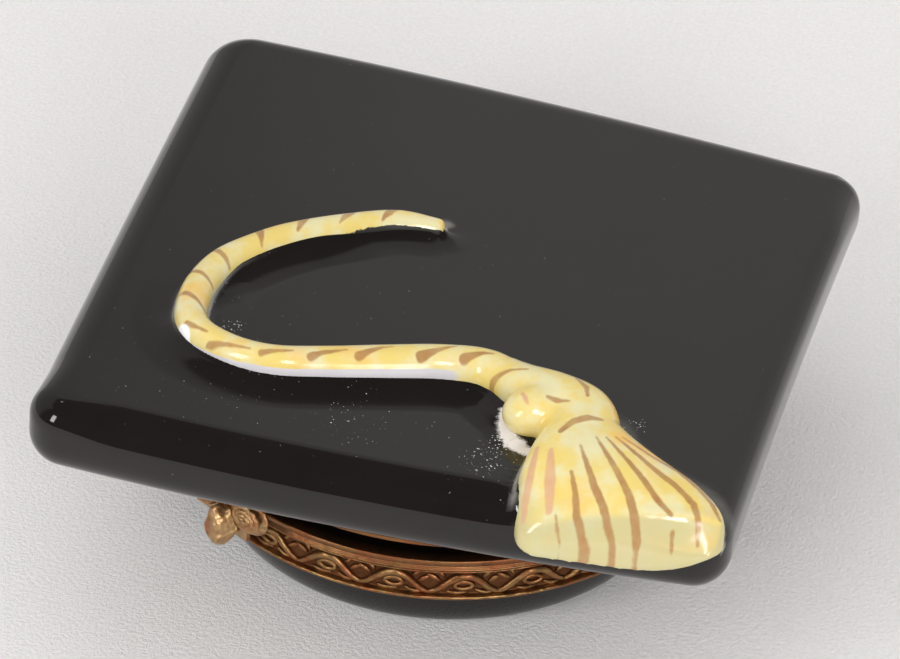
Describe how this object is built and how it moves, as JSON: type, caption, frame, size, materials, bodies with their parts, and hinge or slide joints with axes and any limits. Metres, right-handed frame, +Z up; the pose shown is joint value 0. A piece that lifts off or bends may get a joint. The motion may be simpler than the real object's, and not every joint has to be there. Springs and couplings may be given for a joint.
{
  "type": "trinket box",
  "caption": "Hinged porcelain trinket box shaped like a graduation cap: a round cup with brass mounts and a square board lid with a tassel in relief.",
  "frame": {"origin": "centre of the cup's flat underside", "axes": "+Z up; the board's sides run along X and Y, with the tassel's skirt over the near (-Y) side"},
  "size_m": [0.0584, 0.0617, 0.0257],
  "materials": {
    "black_glaze": "gloss",
    "yellow_glaze": "gloss",
    "gilt_brass": "satin"
  },
  "bodies": {
    "base": {"base_bowl": "black_glaze", "base_rim": "gilt_brass", "base_gallery": "gilt_brass", "base_catch": "gilt_brass", "base_hinge_leaf": "gilt_brass", "hinge_pin": "gilt_brass"},
    "lid": {"mortarboard": "black_glaze", "lid_rim": "gilt_brass", "lid_gallery": "gilt_brass", "tassel_cord": "yellow_glaze", "tassel_knot": "yellow_glaze", "tassel_skirt": "yellow_glaze", "lid_hinge_leaf": "gilt_brass", "clasp_tongue": "gilt_brass", "clasp_bow": "gilt_brass", "clasp_knob": "gilt_brass"}
  },
  "joints": [
    {"name": "lid_hinge", "type": "hinge", "parent": "base", "child": "lid", "pos_m": [0.01297, 0.02036, 0.00925], "axis": [-0.8434, 0.5373, 0], "range_deg": [-2.5, 62]}
  ]
}
